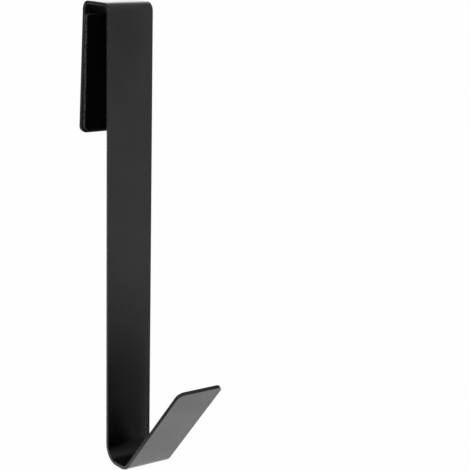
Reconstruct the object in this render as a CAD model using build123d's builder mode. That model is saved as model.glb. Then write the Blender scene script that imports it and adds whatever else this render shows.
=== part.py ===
from build123d import *
from math import cos, radians, sin
import os

os.makedirs("parts", exist_ok=True)

# Hook for the top of a door, bent from one flat steel strip, with a foam pad on its tab.
# Millimetres. X runs across the strip, -Y is the front and +Z is up. The origin is the middle of
# the saddle's underside, which sits on the door's top edge.

# Strip
strip_width = 30.0
strip_thickness = 2.2  # 2 mm steel with 0.1 mm of powder coat on each side
edge_radius = 0.3  # every cut edge is tumbled and coated, so none is sharp

# Saddle over the door's top edge
door_gap = 24.0  # from the tab to the front strip, at the saddle's underside
saddle_bend_radius = 3.0  # inside of both bends

# Tab behind the door, measured on its inner face
tab_length = 76.0
tab_splay = 3.5  # degrees that the tab leans away from the door, so that the hook pushes on
tab_corner_radius = 4.0

# Front strip, foot and lip, measured on the strip's back and under faces
hook_height = 274.0  # from the saddle's top to the foot's underside
foot_bend_radius = 8.5  # inside
foot_length = 22.0
lip_bend_radius = 8.5  # inside
lip_rise = 48.5  # degrees above level
lip_length = 84.0
lip_corner_radius = 4.0

# Pad, stuck to the tab's inner face
pad_thickness = 3.0
pad_side_margin = 0.5  # steel left bare at each side
pad_top_margin = 5.5  # below the saddle's underside, clear of the bend
pad_end_margin = 1.0  # steel left bare at the tab's end
pad_edge_radius = 0.4
pad_top_corner_radius = 0.5  # the pad is cut square across its top

# Two faces that meet at less than this run smoothly into each other, degrees
smooth_angle = 1.0

# Points are (y, z) on the face that looks at the door, from the tab's end to the lip's tip.
tab_down = Vector(0, sin(radians(tab_splay)), -cos(radians(tab_splay)))
tab_inward = Vector(0, -cos(radians(tab_splay)), -sin(radians(tab_splay)))
tab_root = Vector(0, door_gap / 2, 0)
tab_end = tab_root + tab_down * tab_length
front_root = Vector(0, -door_gap / 2, 0)
foot_heel = Vector(0, front_root.Y, strip_thickness - hook_height)
lip_root = foot_heel + Vector(0, -foot_length, 0)
lip_out = Vector(0, -cos(radians(lip_rise)), sin(radians(lip_rise)))
lip_under = Vector(0, -sin(radians(lip_rise)), -cos(radians(lip_rise)))
lip_tip = lip_root + lip_out * lip_length

bend_line = [tab_end, tab_root, front_root, foot_heel, lip_root, lip_tip]
bend_radii = [
    saddle_bend_radius,
    saddle_bend_radius,
    foot_bend_radius + strip_thickness,
    lip_bend_radius + strip_thickness,
]


def sharp_edges(part):
    """Edges where two faces meet at an angle, without the seams between flats and bends."""
    sharp = ShapeList()
    for edge in part.edges():
        middle = edge @ 0.5
        normals = [face.normal_at(middle) for face in part.faces() if edge in face.edges()]
        if normals[0].get_angle(normals[1]) > smooth_angle:
            sharp.append(edge)
    return sharp


# Hook strip: its side view drawn as a line with rounded bends, given the strip's thickness and
# carried across the strip's width, then its end corners rounded and all its edges softened.
with BuildPart() as hook_strip:
    with BuildSketch(Plane.YZ):
        with BuildLine():
            FilletPolyline(*[(point.Y, point.Z) for point in bend_line], radius=bend_radii)
            offset(amount=strip_thickness, side=Side.RIGHT)
        make_face()
    extrude(amount=strip_width / 2, both=True)
    for end, outward, corner_radius in (
        (tab_end, tab_inward, tab_corner_radius),
        (lip_tip, lip_under, lip_corner_radius),
    ):
        end_middle = end - outward * (strip_thickness / 2)
        end_face = hook_strip.faces().sort_by_distance(end_middle)[0]
        fillet(end_face.edges().filter_by(Axis.X, reverse=True), corner_radius)
    fillet(sharp_edges(hook_strip), edge_radius)
hook_strip.part.label = "hook_strip"
export_step(hook_strip.part, "parts/hook_strip.step")

# Tab pad: die-cut foam, square at its top and rounded with the tab at its end, lying flat on the
# tab's inner face.
pad_length = tab_length - pad_top_margin - pad_end_margin
pad_middle = tab_root + tab_down * (pad_top_margin + pad_length / 2)
pad_plane = Plane(origin=pad_middle, x_dir=(1, 0, 0), z_dir=tab_inward)
with BuildPart() as tab_pad:
    with BuildSketch(pad_plane) as pad_outline:
        Rectangle(strip_width - 2 * pad_side_margin, pad_length)
        fillet(pad_outline.vertices().group_by(Axis.Y)[0], tab_corner_radius - pad_end_margin)
        fillet(pad_outline.vertices().group_by(Axis.Y)[-1], pad_top_corner_radius)
    extrude(amount=pad_thickness)
    door_face = tab_pad.faces().sort_by(Axis(pad_middle, tab_inward))[-1]
    fillet(door_face.edges(), pad_edge_radius)
tab_pad.part.label = "tab_pad"
export_step(tab_pad.part, "parts/tab_pad.step")
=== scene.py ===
from math import cos, radians, sin

import bpy
from mathutils import Matrix, Vector, noise


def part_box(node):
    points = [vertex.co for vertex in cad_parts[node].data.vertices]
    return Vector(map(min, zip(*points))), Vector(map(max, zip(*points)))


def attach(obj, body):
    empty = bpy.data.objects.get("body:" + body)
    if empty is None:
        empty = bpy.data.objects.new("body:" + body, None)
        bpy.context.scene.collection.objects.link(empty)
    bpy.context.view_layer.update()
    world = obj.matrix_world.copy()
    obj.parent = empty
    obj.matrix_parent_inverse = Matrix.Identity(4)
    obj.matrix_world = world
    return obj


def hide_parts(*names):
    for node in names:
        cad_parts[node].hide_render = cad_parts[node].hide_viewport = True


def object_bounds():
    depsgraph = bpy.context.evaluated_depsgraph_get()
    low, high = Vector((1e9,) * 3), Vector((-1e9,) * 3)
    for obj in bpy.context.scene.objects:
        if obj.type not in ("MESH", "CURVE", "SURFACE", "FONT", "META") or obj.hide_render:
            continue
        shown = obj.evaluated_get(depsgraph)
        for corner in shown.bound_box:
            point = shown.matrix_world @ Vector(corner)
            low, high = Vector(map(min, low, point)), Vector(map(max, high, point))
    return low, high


# Over door hook: one flat steel strip, powder coated satin black, with a die-cut foam pad on its tab.
# Metres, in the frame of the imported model: X across the strip, -Y the front, +Z up.

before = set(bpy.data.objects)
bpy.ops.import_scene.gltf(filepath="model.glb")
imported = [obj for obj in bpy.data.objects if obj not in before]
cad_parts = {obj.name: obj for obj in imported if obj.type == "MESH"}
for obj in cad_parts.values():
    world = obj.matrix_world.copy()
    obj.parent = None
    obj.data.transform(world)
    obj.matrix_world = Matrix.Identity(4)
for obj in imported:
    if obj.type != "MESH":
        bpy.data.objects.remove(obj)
cad_low, cad_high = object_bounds()

mm = 0.001

# Foam pad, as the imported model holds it
tab_splay = radians(3.5)
pad_thickness = 3.0 * mm
pad_low, pad_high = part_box("tab_pad")
pad_middle = (pad_low + pad_high) / 2
pad_width = pad_high.x - pad_low.x
pad_space = (pad_high.z - pad_low.z - pad_thickness * sin(tab_splay)) / cos(tab_splay)
pad_end_corner = 3.0 * mm
pad_top_corner = 0.5 * mm

# Foam pad, as it was cut and stuck on
pad_short = 0.8 * mm  # cut foam draws in, so the pad ends a little short
pad_length = pad_space - pad_short
pad_columns = 29  # with the rows, squares of about 1 mm
pad_rows = 70
pad_layers = 4
pad_rim = 0.35 * mm  # rounding of its cut edges
pad_crown = 0.15 * mm  # the face is this much lower along its edges
pad_pull = 0.12 * mm  # a die squeezes foam as it cuts, so the cut sides end up hollow
pad_wave = 0.12 * mm  # and not quite straight
pad_wave_length = 9 * mm
pad_skew = radians(-0.6)  # stuck on by hand, a little askew

# Studio
floor_drop = 350 * mm
floor_radius = 4.0
floor_sides = 96
sweep_radius = 6.0  # the floor curves up into the backdrop
sweep_steps = 12
floor_glow = 0.97  # share of the floor that is seen as plain white, the rest shows the shadow
horizon_light = 0.87
overhead_light = 0.8
card_turn = radians(32.4)  # about square to what the hook's left side reflects
# Sheets of painted shade, seen only in reflections, hang beside the hook's right side at this gap; the
# leak is what their darkest part still lets through
painted_shade_gap = 3 * mm  # between the hook's right side and the nets
shade_leak = 0.03  # share of the light that a closed net lets through

# Camera, as fitted to the photograph's outline
image_side = 470
focal_pixels = 1448.8
sensor_side = 36.0
camera_place = Vector((-448.7, -718.5, 55.8)) * mm
camera_turn = radians(-36.75)
camera_drop = radians(12.715)
camera_roll = radians(1.21)


def linear(hex_colour):
    """Linear RGBA of an sRGB hex colour such as "1A1A1C"."""
    channels = []
    for start in (0, 2, 4):
        value = int(hex_colour[start : start + 2], 16) / 255
        channels.append(value / 12.92 if value <= 0.04045 else ((value + 0.055) / 1.055) ** 2.4)
    return (*channels, 1.0)


def node(tree, kind, links=None, values=None, **settings):
    """Adds a node, with its settings, the values of its inputs and the outputs that feed its inputs."""
    made = tree.nodes.new(kind)
    for name, value in settings.items():
        setattr(made, name, value)
    for socket, value in (values or {}).items():
        made.inputs[socket].default_value = value
    for socket, output in (links or {}).items():
        tree.links.new(output, made.inputs[socket])
    return made


def new_material(name):
    """An empty node material with its output."""
    material = bpy.data.materials.new(name)
    material.use_nodes = True
    tree = material.node_tree
    tree.nodes.clear()
    return material, tree, node(tree, "ShaderNodeOutputMaterial")


def powder_coated_steel():
    # Steel under polyester powder that was sprayed on dry and baked. The powder melts into a satin black
    # film with a fine orange peel, so reflections are soft and slightly broken. The film draws back from
    # the cut edges, which look a little shinier and paler.
    peel_width = 1.8 * mm
    peel_depth = 0.06 * mm
    grain_width = 0.5 * mm  # real powder grain is nearer 0.05 mm, too fine to show
    grain_depth = 0.02 * mm
    film_width = 22 * mm  # the film's thickness drifts over about this length
    edge_shine = 0.22  # how much less rough the cut edges are

    material, tree, output = new_material("powder_coated_steel")
    place = node(tree, "ShaderNodeTexCoord").outputs["Object"]
    peel = node(
        tree,
        "ShaderNodeTexNoise",
        links={"Vector": place},
        values={"Scale": 1 / peel_width, "Detail": 1.0},
    )
    grain = node(
        tree,
        "ShaderNodeTexNoise",
        links={"Vector": place},
        values={"Scale": 1 / grain_width, "Detail": 2.0},
    )
    film = node(
        tree,
        "ShaderNodeTexNoise",
        links={"Vector": place},
        values={"Scale": 1 / film_width, "Detail": 3.0},
    )

    facing = node(tree, "ShaderNodeNewGeometry").outputs["Normal"]
    sideways = node(tree, "ShaderNodeSeparateXYZ", links={0: facing}).outputs["X"]
    leaning = node(tree, "ShaderNodeMath", links={0: sideways}, operation="ABSOLUTE")
    edge = node(
        tree,
        "ShaderNodeMapRange",
        links={"Value": leaning.outputs[0]},
        values={"From Min": 0.1, "From Max": 0.5},
        interpolation_type="SMOOTHSTEP",
    )

    uneven = node(
        tree,
        "ShaderNodeMapRange",
        links={"Value": film.outputs[0]},
        values={"From Min": 0.35, "From Max": 0.65},
    )
    black = node(
        tree,
        "ShaderNodeMix",
        links={"Factor": uneven.outputs[0]},
        values={"A": linear("000000"), "B": linear("090909")},
        data_type="RGBA",
    )
    worn = node(
        tree,
        "ShaderNodeMath",
        links={0: edge.outputs[0], 1: grain.outputs[0]},
        operation="MULTIPLY",
    )
    colour = node(
        tree,
        "ShaderNodeMix",
        links={"Factor": worn.outputs[0], "A": black.outputs["Result"]},
        values={"B": linear("141414")},
        data_type="RGBA",
    )

    satin = node(
        tree,
        "ShaderNodeMapRange",
        links={"Value": uneven.outputs[0]},
        values={"To Min": 0.32, "To Max": 0.37},
    )
    roughness = node(
        tree,
        "ShaderNodeMath",
        links={0: edge.outputs[0], 2: satin.outputs[0]},
        values={1: -edge_shine},
        operation="MULTIPLY_ADD",
    )

    grain_bump = node(
        tree,
        "ShaderNodeBump",
        links={"Height": grain.outputs[0]},
        values={"Strength": 0.3, "Distance": grain_depth},
    )
    peel_bump = node(
        tree,
        "ShaderNodeBump",
        links={"Height": peel.outputs[0], "Normal": grain_bump.outputs[0]},
        values={"Strength": 0.3, "Distance": peel_depth},
    )

    shader = node(
        tree,
        "ShaderNodeBsdfPrincipled",
        links={
            "Base Color": colour.outputs["Result"],
            "Roughness": roughness.outputs[0],
            "Normal": peel_bump.outputs[0],
        },
        values={"IOR": 1.45},
    )
    tree.links.new(shader.outputs["BSDF"], output.inputs["Surface"])
    return material


def eva_foam():
    # Closed-cell EVA foam sheet, cut to shape with a die. Its skin is dead matt and near black. The cut
    # sides open the cells, which scatter more light, so they look greyer and rougher.
    cell_width = 0.6 * mm  # real cells are nearer 0.2 mm, too fine to show
    cell_depth = 0.15 * mm
    patch_width = 1.5 * mm

    material, tree, output = new_material("eva_foam")
    place = node(tree, "ShaderNodeTexCoord").outputs["Object"]
    facing = node(tree, "ShaderNodeNewGeometry").outputs["Normal"]
    cells = node(
        tree,
        "ShaderNodeTexVoronoi",
        links={"Vector": place},
        values={"Scale": 1 / cell_width},
    )
    patches = node(
        tree,
        "ShaderNodeTexNoise",
        links={"Vector": place},
        values={"Scale": 1 / patch_width, "Detail": 3.0},
    )

    towards_door = node(
        tree,
        "ShaderNodeVectorMath",
        links={0: facing},
        values={1: (0, -cos(tab_splay), -sin(tab_splay))},
        operation="DOT_PRODUCT",
    )
    skin = node(
        tree,
        "ShaderNodeMapRange",
        links={"Value": towards_door.outputs["Value"]},
        values={"From Min": 0.75, "From Max": 0.97},
        interpolation_type="SMOOTHSTEP",
    )

    skin_black = node(
        tree,
        "ShaderNodeMix",
        links={"Factor": patches.outputs[0]},
        values={"A": linear("020202"), "B": linear("050505")},
        data_type="RGBA",
    )
    torn = node(
        tree,
        "ShaderNodeMapRange",
        links={"Value": patches.outputs[0]},
        values={"From Min": 0.38, "From Max": 0.62},
    )
    cut_grey = node(
        tree,
        "ShaderNodeMix",
        links={"Factor": torn.outputs[0]},
        values={"A": linear("202020"), "B": linear("404040")},
        data_type="RGBA",
    )
    colour = node(
        tree,
        "ShaderNodeMix",
        links={
            "Factor": skin.outputs[0],
            "A": cut_grey.outputs["Result"],
            "B": skin_black.outputs["Result"],
        },
        data_type="RGBA",
    )
    roughness = node(
        tree,
        "ShaderNodeMapRange",
        links={"Value": patches.outputs[0]},
        values={"From Min": 0.3, "From Max": 0.7, "To Min": 0.88, "To Max": 1.0},
    )
    bump = node(
        tree,
        "ShaderNodeBump",
        links={"Height": cells.outputs["Distance"]},
        values={"Strength": 0.5, "Distance": cell_depth},
    )
    shader = node(
        tree,
        "ShaderNodeBsdfPrincipled",
        links={
            "Base Color": colour.outputs["Result"],
            "Roughness": roughness.outputs[0],
            "Normal": bump.outputs[0],
        },
        values={"IOR": 1.45, "Specular IOR Level": 0.03},
    )
    tree.links.new(shader.outputs["BSDF"], output.inputs["Surface"])
    return material


def white_floor():
    # Matt white paper. The camera and the reflections see it as plain white, with the shadow left in it.
    material, tree, output = new_material("white_studio_paper")
    paper = node(tree, "ShaderNodeBsdfDiffuse", values={"Color": linear("F4F4F4")})
    glow = node(tree, "ShaderNodeEmission", values={"Color": linear("FFFFFF"), "Strength": 1.0})
    path = node(tree, "ShaderNodeLightPath")
    seen = node(
        tree,
        "ShaderNodeMath",
        links={0: path.outputs["Is Camera Ray"], 1: path.outputs["Is Glossy Ray"]},
        operation="MAXIMUM",
    )
    seen_through = node(
        tree,
        "ShaderNodeMath",
        links={0: seen.outputs[0], 1: path.outputs["Is Transmission Ray"]},
        operation="MAXIMUM",
    )
    share = node(
        tree,
        "ShaderNodeMath",
        links={0: seen_through.outputs[0]},
        values={1: floor_glow},
        operation="MULTIPLY",
    )
    mix = node(
        tree,
        "ShaderNodeMixShader",
        links={0: share.outputs[0], 1: paper.outputs[0], 2: glow.outputs[0]},
    )
    tree.links.new(mix.outputs[0], output.inputs["Surface"])
    return material


def studio_card(grey):
    # Matt card, which studios stand beside black things to give their reflections some shape.
    material, tree, output = new_material("matt_studio_card")
    card = node(tree, "ShaderNodeBsdfDiffuse", values={"Color": linear(grey)})
    tree.links.new(card.outputs[0], output.inputs["Surface"])
    return material


def painted_shade_sheet(fade, closed, opened):
    # Painted shade: a black sheet, like a studio's black net but seen only in reflections, hung close to
    # a thing to keep its hollows dark. It is dense where the distance along fade is at closed, and thins
    # out to nothing at opened.
    material, tree, output = new_material("painted_shade_in_reflections")
    place = node(tree, "ShaderNodeTexCoord").outputs["Object"]
    along = node(
        tree,
        "ShaderNodeVectorMath",
        links={0: place},
        values={1: fade},
        operation="DOT_PRODUCT",
    )
    # Share left unshaded: least where the painted shade is darkest, at closed, and all of it at opened
    unshaded_share = node(
        tree,
        "ShaderNodeMapRange",
        links={"Value": along.outputs["Value"]},
        values={"From Min": closed, "From Max": opened, "To Min": shade_leak, "To Max": 1.0},
    )
    # Painted shade: the black part of the sheet
    painted_shade_bsdf = node(tree, "ShaderNodeBsdfDiffuse", values={"Color": linear("050505")})
    unshaded_bsdf = node(tree, "ShaderNodeBsdfTransparent")
    mix = node(
        tree,
        "ShaderNodeMixShader",
        links={0: unshaded_share.outputs[0], 1: painted_shade_bsdf.outputs[0], 2: unshaded_bsdf.outputs[0]},
    )
    tree.links.new(mix.outputs[0], output.inputs["Surface"])
    return material


# Hook strip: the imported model's own mesh, coated
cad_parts["hook_strip"].data.materials.clear()
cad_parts["hook_strip"].data.materials.append(powder_coated_steel())


# Foam pad: a sheet of about 1 mm squares is given its corners, raised to its thickness and softened
def model_foam_pad():
    bpy.ops.object.select_all(action="DESELECT")
    bpy.ops.mesh.primitive_grid_add(x_subdivisions=pad_columns, y_subdivisions=pad_rows, size=1.0)
    pad = bpy.context.object
    pad.name = "foam_pad"
    pad.scale = (pad_width, pad_length, 1)
    pad.rotation_euler = (radians(90), 0, 0)
    pad.location = (0, pad_thickness / 2, 0)
    bpy.ops.object.transform_apply(location=True, rotation=True, scale=True)

    # The sheet's square corners are drawn in to round ones
    for vertex in pad.data.vertices:
        corner = pad_end_corner if vertex.co.z < 0 else pad_top_corner
        out_x = max(abs(vertex.co.x) - (pad_width / 2 - corner), 0) / corner
        out_z = max(abs(vertex.co.z) - (pad_length / 2 - corner), 0) / corner
        if out_x > 0 and out_z > 0:
            side = 1 if vertex.co.x > 0 else -1
            end = 1 if vertex.co.z > 0 else -1
            vertex.co.x = side * (pad_width / 2 - corner + corner * out_x * (1 - out_z**2 / 2) ** 0.5)
            vertex.co.z = end * (pad_length / 2 - corner + corner * out_z * (1 - out_x**2 / 2) ** 0.5)

    bpy.ops.object.mode_set(mode="EDIT")
    bpy.ops.mesh.select_all(action="SELECT")
    layer = (0, -pad_thickness / pad_layers, 0)
    for _ in range(pad_layers):
        bpy.ops.mesh.extrude_region_move(TRANSFORM_OT_translate={"value": layer})
    bpy.ops.mesh.select_all(action="SELECT")
    bpy.ops.mesh.normals_make_consistent(inside=False)
    bpy.ops.object.mode_set(mode="OBJECT")

    rim = pad.modifiers.new("rim", "BEVEL")
    rim.limit_method = "ANGLE"
    rim.angle_limit = radians(60)
    rim.width = pad_rim
    rim.segments = 3
    bpy.ops.object.modifier_apply(modifier="rim")

    for vertex in pad.data.vertices:
        raised = 0.5 - vertex.co.y / pad_thickness
        across = 2 * vertex.co.x / pad_width
        along = 2 * vertex.co.z / pad_length
        fall = 1 - max(1 - across**4, 0) * max(1 - along**4, 0)
        hollow = 4 * raised * (1 - raised) * pad_pull
        wave = noise.noise(vertex.co / pad_wave_length) * pad_wave * max(abs(across), abs(along)) ** 8
        vertex.co.x -= across * (hollow + wave)
        vertex.co.z -= along * hollow
        vertex.co.y += raised * fall * pad_crown

    soft = pad.modifiers.new("soft", "SUBSURF")
    soft.levels = 1
    soft.render_levels = 1
    bpy.ops.object.modifier_apply(modifier="soft")
    bpy.ops.object.shade_smooth()

    pad.matrix_world = (
        Matrix.Translation(pad_middle)
        @ Matrix.Rotation(tab_splay, 4, "X")
        @ Matrix.Translation((0, 0, pad_short / 2))
        @ Matrix.Rotation(pad_skew, 4, "Y")
    )
    bpy.ops.object.transform_apply(location=True, rotation=True, scale=True)

    pad.data.materials.append(eva_foam())
    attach(pad, "root")
    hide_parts("tab_pad")


model_foam_pad()

# Studio floor: a round sheet of paper that curves up into the backdrop on all sides
bpy.ops.object.select_all(action="DESELECT")
bpy.ops.mesh.primitive_circle_add(
    vertices=floor_sides,
    radius=floor_radius,
    fill_type="NGON",
    location=(0, 0, cad_low.z - floor_drop),
)
floor = bpy.context.object
floor.name = "studio_floor"
bpy.ops.object.mode_set(mode="EDIT")
bpy.ops.mesh.select_mode(type="EDGE")
bpy.ops.mesh.select_all(action="DESELECT")
bpy.ops.mesh.select_non_manifold()
last_radius = floor_radius
last_rise = 0.0
for step in range(1, sweep_steps + 1):
    turn = radians(90) * step / sweep_steps
    radius = floor_radius + sweep_radius * sin(turn)
    rise = sweep_radius * (1 - cos(turn))
    bpy.ops.mesh.extrude_edges_move(TRANSFORM_OT_translate={"value": (0, 0, rise - last_rise)})
    widen = radius / last_radius
    bpy.ops.transform.resize(value=(widen, widen, 1), center_override=floor.location)
    last_radius = radius
    last_rise = rise
bpy.ops.object.mode_set(mode="OBJECT")
bpy.ops.object.shade_smooth()
floor.data.materials.append(white_floor())

# Studio air: pale at the horizon, a little greyer overhead
world = bpy.data.worlds.new("studio_air")
bpy.context.scene.world = world
world.use_nodes = True
air = world.node_tree
air.nodes.clear()
direction = node(air, "ShaderNodeTexCoord").outputs["Generated"]
height = node(air, "ShaderNodeSeparateXYZ", links={0: direction}).outputs["Z"]
level = node(
    air,
    "ShaderNodeMapRange",
    links={"Value": height},
    values={"From Min": 0.0, "From Max": 0.6, "To Min": horizon_light, "To Max": overhead_light},
    interpolation_type="SMOOTHSTEP",
)
background = node(
    air,
    "ShaderNodeBackground",
    links={"Strength": level.outputs[0]},
    values={"Color": linear("FFFFFF")},
)
node(air, "ShaderNodeOutputWorld", links={"Surface": background.outputs[0]})


def soft_box(name, place, aim, width, height, watts):
    """A rectangular lamp aimed at a point and left out of the picture."""
    lamp = bpy.data.lights.new(name, "AREA")
    lamp.shape = "RECTANGLE"
    lamp.size = width
    lamp.size_y = height
    lamp.energy = watts
    box = bpy.data.objects.new(name, lamp)
    bpy.context.scene.collection.objects.link(box)
    box.location = place
    box.rotation_euler = (aim - place).to_track_quat("-Z", "Y").to_euler()
    box.visible_camera = False
    return box


# Lamps: a soft key from the front left, a wide box behind the hook and a faint light up from the floor
hook_middle = (cad_low + cad_high) / 2
soft_box(
    "key_soft_box",
    place=hook_middle + Vector((-0.90, -1.26, 0.90)),
    aim=hook_middle,
    width=0.5,
    height=0.5,
    watts=10,
)
back_soft_box = soft_box(
    "back_soft_box",
    place=hook_middle + Vector((1.6, 2.5, 1.2)),
    aim=hook_middle,
    width=2.6,
    height=2.4,
    watts=36,
)
back_soft_box.visible_diffuse = False  # only for the gleam on the saddle's top
soft_box(
    "table_light",
    place=Vector((0.15, 0.25, floor.location.z + 2 * mm)),
    aim=Vector((0.15, 0.25, 0)),
    width=0.9,
    height=0.9,
    watts=1.0,
)


def only_in_reflections(screen, name):
    """Makes a card, or a sheet of painted shade, part of the studio that shows in reflections and
    nowhere else.
    """
    screen.name = name
    screen.visible_camera = False
    screen.visible_diffuse = False
    screen.visible_shadow = False


def stand_card(name, place, width, height, grey):
    """A card that stands upright behind the hook's left side."""
    bpy.ops.object.select_all(action="DESELECT")
    bpy.ops.mesh.primitive_plane_add(
        size=1.0,
        location=place,
        rotation=(radians(90), 0, card_turn),
    )
    card = bpy.context.object
    card.scale = (width, height, 1)
    card.data.materials.append(studio_card(grey))
    only_in_reflections(card, name)


# A grey card for the strip's cut sides, and a white one close by for the light line along the front
# strip's left edge
stand_card("left_card", place=(-0.325, 0.48, -0.02), width=0.6, height=1.0, grey="989898")
stand_card("edge_card", place=(-0.067, 0.072, -0.205), width=0.045, height=0.24, grey="FFFFFF")


def hang_painted_shade(name, corners, shade_sheet):
    """A sheet of painted shade beside the hook's right side, with its corners in turn as y and z in
    millimetres.
    """
    bpy.ops.object.select_all(action="DESELECT")
    bpy.ops.mesh.primitive_plane_add(size=1.0)
    screen = bpy.context.object
    vertices_in_turn = (0, 1, 3, 2)
    for index, (y, z) in zip(vertices_in_turn, corners):
        screen.data.vertices[index].co = (cad_high.x + painted_shade_gap, y * mm, z * mm)
    screen.data.materials.append(shade_sheet)
    only_in_reflections(screen, name)


# Three kinds of painted shade: a faint one that thins out downwards, one that thins out upwards, and a
# closed one
faint_painted_shade = painted_shade_sheet(fade=(0, 0, -1), closed=-189 * mm, opened=85 * mm)
fading_painted_shade = painted_shade_sheet(fade=(0, 0.3, 0.954), closed=-268 * mm, opened=-166 * mm)
closed_painted_shade = painted_shade_sheet(fade=(0, 0, 1), closed=0, opened=1000 * mm)

# Sheets of painted shade hang before the top of the front face, beside the pocket between strip and lip,
# beside the foot's bend, and beside the pocket under the saddle, so that these parts reflect dark there
hang_painted_shade("top_painted_shade", ((-34, 10), (-110, 10), (-110, -95), (-34, -95)), faint_painted_shade)
hang_painted_shade("foot_painted_shade", ((-26, -271), (-36, -269), (-140, -145), (-13.5, -100)), fading_painted_shade)
hang_painted_shade("heel_painted_shade", ((-14.4, -270), (-20, -270), (-19, -225), (-14.4, -205)), closed_painted_shade)
hang_painted_shade("saddle_painted_shade", ((-11.8, -90), (-11.8, -0.2), (11.8, -0.2), (16, -90)), closed_painted_shade)

# Camera
camera_data = bpy.data.cameras.new("camera")
camera_data.sensor_width = sensor_side
camera_data.lens = focal_pixels / image_side * sensor_side
camera = bpy.data.objects.new("camera", camera_data)
bpy.context.scene.collection.objects.link(camera)
forward = Vector(
    (
        -sin(camera_turn) * cos(camera_drop),
        cos(camera_turn) * cos(camera_drop),
        -sin(camera_drop),
    )
)
sideways = Vector((cos(camera_turn), sin(camera_turn), 0))
upright = sideways.cross(forward)
right = sideways * cos(camera_roll) + upright * sin(camera_roll)
up = upright * cos(camera_roll) - sideways * sin(camera_roll)
turned = Matrix((right, up, -forward)).transposed().to_4x4()
camera.matrix_world = Matrix.Translation(camera_place) @ turned
bpy.context.scene.camera = camera

bpy.context.scene.view_settings.view_transform = "Standard"
